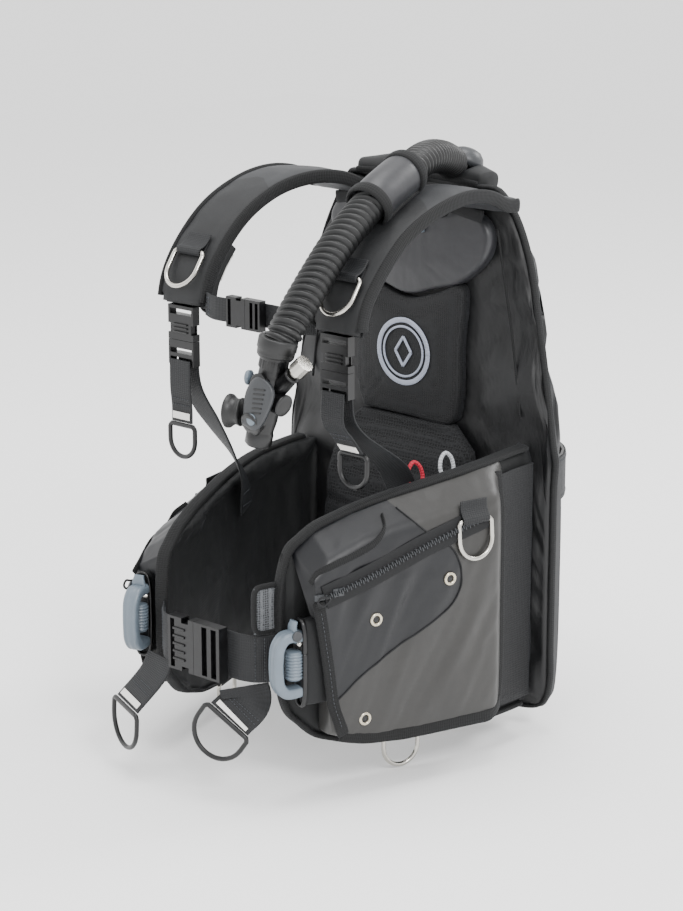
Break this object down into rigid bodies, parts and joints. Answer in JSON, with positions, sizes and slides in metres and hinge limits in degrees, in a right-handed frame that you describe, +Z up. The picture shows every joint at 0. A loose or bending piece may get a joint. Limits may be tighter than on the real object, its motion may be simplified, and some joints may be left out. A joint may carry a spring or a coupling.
{
  "type": "buoyancy compensator vest",
  "caption": "Jacket-style dive vest with padded straps, wrap-round air lobes with weight pouches, tank band, corrugated hose and power inflator.",
  "frame": {"origin": "centre of the tank band, on the axis of the cylinder that it holds", "axes": "+Z up along the cylinder, -Y towards the front of the vest, +X to the wearer's left"},
  "size_m": [0.3904, 0.6253, 0.6313],
  "materials": {
    "black_nylon": "coated woven nylon, matt black",
    "grey_nylon": "coated woven nylon, mid grey and slate panels",
    "black_mesh": "padded air mesh, black",
    "black_webbing": "ribbed polyester webbing, black",
    "black_plastic": "moulded acetal, satin black",
    "grey_plastic": "moulded nylon, mid grey",
    "light_grey_plastic": "moulded nylon, pale grey",
    "stainless": "polished stainless wire",
    "black_rubber": "moulded rubber, black"
  },
  "bodies": {
    "vest": {"air_cell": "black_nylon", "back_pad": "black_nylon", "backplate": "black_plastic", "collar": "black_nylon", "corrugated_hose": "black_rubber", "hose_elbow": "black_plastic", "hose_retainer": "grey_nylon", "inflator_body": "black_plastic", "inflator_cover": "grey_plastic", "inlet_coupling": "black_plastic", "left_chest_pull_webbing": "black_webbing", "left_lobe": "black_nylon", "left_pocket": "grey_nylon", "left_shoulder_buckle_housing": "black_plastic", "left_shoulder_strap": "black_nylon", "left_side_webbing": "black_webbing", "left_waist_pull_webbing": "black_webbing", "left_waist_webbing": "black_webbing", "lumbar_pad": "black_mesh", "mouthpiece": "black_rubber", "rear_dump_valve": "black_plastic", "right_chest_pull_webbing": "black_webbing", "right_lobe": "black_nylon", "right_pocket": "grey_nylon", "right_shoulder_buckle_housing": "black_plastic", "right_shoulder_strap": "black_nylon", "right_side_webbing": "black_webbing", "right_waist_pull_webbing": "black_webbing", "right_waist_webbing": "black_webbing", "shoulder_yoke": "grey_nylon", "sternum_buckle_housing": "black_plastic", "sternum_webbing_left": "black_webbing", "sternum_webbing_right": "black_webbing", "tank_band": "black_webbing", "waist_buckle_housing": "black_plastic"},
    "left_shoulder_ring": {"left_shoulder_dring": "stainless"},
    "left_pocket_ring": {"left_pocket_dring": "stainless"},
    "left_hem_ring": {"left_hem_dring": "stainless"},
    "left_chest_ring": {"left_chest_pull_ring": "black_plastic"},
    "left_waist_ring": {"left_waist_pull_ring": "black_plastic"},
    "left_shoulder_plug": {"left_shoulder_buckle_plug": "black_plastic"},
    "left_weights": {"left_weight_pouch": "black_nylon", "left_weight_grip": "light_grey_plastic"},
    "left_zip": {"left_zip_slider": "black_plastic"},
    "right_shoulder_ring": {"right_shoulder_dring": "stainless"},
    "right_pocket_ring": {"right_pocket_dring": "stainless"},
    "right_hem_ring": {"right_hem_dring": "stainless"},
    "right_chest_ring": {"right_chest_pull_ring": "black_plastic"},
    "right_waist_ring": {"right_waist_pull_ring": "black_plastic"},
    "right_shoulder_plug": {"right_shoulder_buckle_plug": "black_plastic"},
    "right_weights": {"right_weight_pouch": "black_nylon", "right_weight_grip": "light_grey_plastic"},
    "right_zip": {"right_zip_slider": "black_plastic"},
    "waist_plug": {"waist_buckle_plug": "black_plastic"},
    "sternum_plug": {"sternum_buckle_plug": "black_plastic"},
    "cam": {"cam_lever": "black_plastic"},
    "inflate": {"inflate_button": "black_plastic"},
    "exhaust": {"exhaust_button": "grey_plastic"},
    "rear_toggle": {"rear_dump_toggle": "black_rubber"}
  },
  "joints": [
    {"name": "left_shoulder_dring_swing", "type": "hinge", "parent": "vest", "child": "left_shoulder_ring", "pos_m": [0.1067, -0.34277, 0.28098], "axis": [1, 0, 0], "range_deg": [-5, 0]},
    {"name": "left_pocket_dring_swing", "type": "hinge", "parent": "vest", "child": "left_pocket_ring", "pos_m": [0.1861, -0.23736, 0.03], "axis": [-0.2457, -0.9693, 0], "range_deg": [0, 120]},
    {"name": "left_hem_dring_swing", "type": "hinge", "parent": "vest", "child": "left_hem_ring", "pos_m": [0.12544, -0.27884, -0.20251], "axis": [-0.3354, -0.9421, 0], "range_deg": [-70, 70]},
    {"name": "left_chest_ring_swing", "type": "hinge", "parent": "vest", "child": "left_chest_ring", "pos_m": [0.106, -0.33048, 0.10157], "axis": [1, 0, 0], "range_deg": [-70, 15]},
    {"name": "left_waist_ring_swing", "type": "hinge", "parent": "vest", "child": "left_waist_ring", "pos_m": [0.05323, -0.45872, -0.15596], "axis": [0.7798, 0.2502, -0.5739], "range_deg": [-40, 40]},
    {"name": "left_shoulder_buckle_release", "type": "slide", "parent": "vest", "child": "left_shoulder_plug", "axis": [0, 0, -1], "range_m": [0, 0.022]},
    {"name": "left_weight_pouch_pull", "type": "slide", "parent": "vest", "child": "left_weights", "axis": [-0.314, -0.9494, 0], "range_m": [0, 0.12]},
    {"name": "left_zip_run", "type": "slide", "parent": "vest", "child": "left_zip", "axis": [0.2987, 0.9544, 0], "range_m": [0, 0.024]},
    {"name": "right_shoulder_dring_swing", "type": "hinge", "parent": "vest", "child": "right_shoulder_ring", "pos_m": [-0.1067, -0.34277, 0.28098], "axis": [1, 0, 0], "range_deg": [-100, 0]},
    {"name": "right_pocket_dring_swing", "type": "hinge", "parent": "vest", "child": "right_pocket_ring", "pos_m": [-0.1861, -0.23736, -0.012], "axis": [-0.2457, 0.9693, 0], "range_deg": [0, 120]},
    {"name": "right_hem_dring_swing", "type": "hinge", "parent": "vest", "child": "right_hem_ring", "pos_m": [-0.12544, -0.27884, -0.20296], "axis": [0.3354, -0.9421, 0], "range_deg": [-70, 70]},
    {"name": "right_chest_ring_swing", "type": "hinge", "parent": "vest", "child": "right_chest_ring", "pos_m": [-0.106, -0.3584, 0.1009], "axis": [1, 0, 0], "range_deg": [-70, 15]},
    {"name": "right_waist_ring_swing", "type": "hinge", "parent": "vest", "child": "right_waist_ring", "pos_m": [-0.07593, -0.47541, -0.16822], "axis": [0.9407, -0.3259, -0.0938], "range_deg": [-40, 40]},
    {"name": "right_shoulder_buckle_release", "type": "slide", "parent": "vest", "child": "right_shoulder_plug", "axis": [0, 0, -1], "range_m": [0, 0.022]},
    {"name": "right_weight_pouch_pull", "type": "slide", "parent": "vest", "child": "right_weights", "axis": [0.314, -0.9494, 0], "range_m": [0, 0.12]},
    {"name": "right_zip_run", "type": "slide", "parent": "vest", "child": "right_zip", "axis": [-0.2987, 0.9544, 0], "range_m": [0, 0.024]},
    {"name": "waist_buckle_release", "type": "slide", "parent": "vest", "child": "waist_plug", "axis": [1, 0, 0], "range_m": [0, 0.022]},
    {"name": "sternum_buckle_release", "type": "slide", "parent": "vest", "child": "sternum_plug", "axis": [1, 0, 0], "range_m": [0, 0.016]},
    {"name": "cam_lever_open", "type": "hinge", "parent": "vest", "child": "cam", "pos_m": [-0.06356, 0.08732, 0], "axis": [0, 0, 1], "range_deg": [0, 100]},
    {"name": "inflate_press", "type": "slide", "parent": "vest", "child": "inflate", "axis": [0.9282, 0.3217, -0.1871], "range_m": [0, 0.0025], "stiffness_N_per_m": 600},
    {"name": "exhaust_press", "type": "slide", "parent": "vest", "child": "exhaust", "axis": [0.9559, 0.2936, 0.0037], "range_m": [0, 0.003], "stiffness_N_per_m": 600},
    {"name": "rear_dump_pull", "type": "slide", "parent": "vest", "child": "rear_toggle", "axis": [0, 0, -1], "range_m": [0, 0.012], "stiffness_N_per_m": 150}
  ]
}
